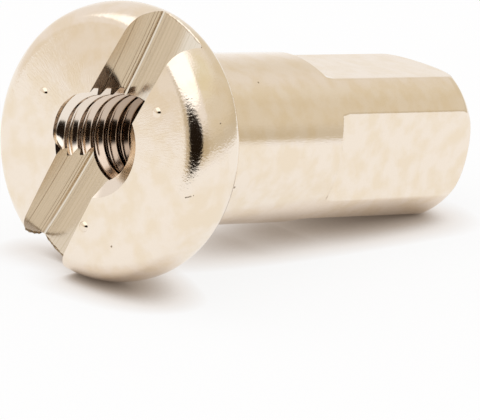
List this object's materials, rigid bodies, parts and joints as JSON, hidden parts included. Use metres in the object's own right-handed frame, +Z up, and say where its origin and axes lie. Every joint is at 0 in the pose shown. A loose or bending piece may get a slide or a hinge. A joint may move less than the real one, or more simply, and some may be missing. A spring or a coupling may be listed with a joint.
{
  "type": "spoke nipple",
  "caption": "Slotted bicycle spoke nipple with a round head, threaded bore and square wrench end, in bright nickel-plated brass.",
  "frame": {"origin": "on the ground under the middle of the part's box, with the part lying on its side", "axes": "+X from the head's face towards the tail, +Z up, -Y towards the side seen first; the nipple's own axis falls about 8 degrees towards the tail"},
  "size_m": [0.0122, 0.0064, 0.0064],
  "materials": {
    "nickel_plate": "bright nickel plating over turned brass"
  },
  "bodies": {
    "root": {"nipple": "nickel_plate"}
  },
  "joints": []
}
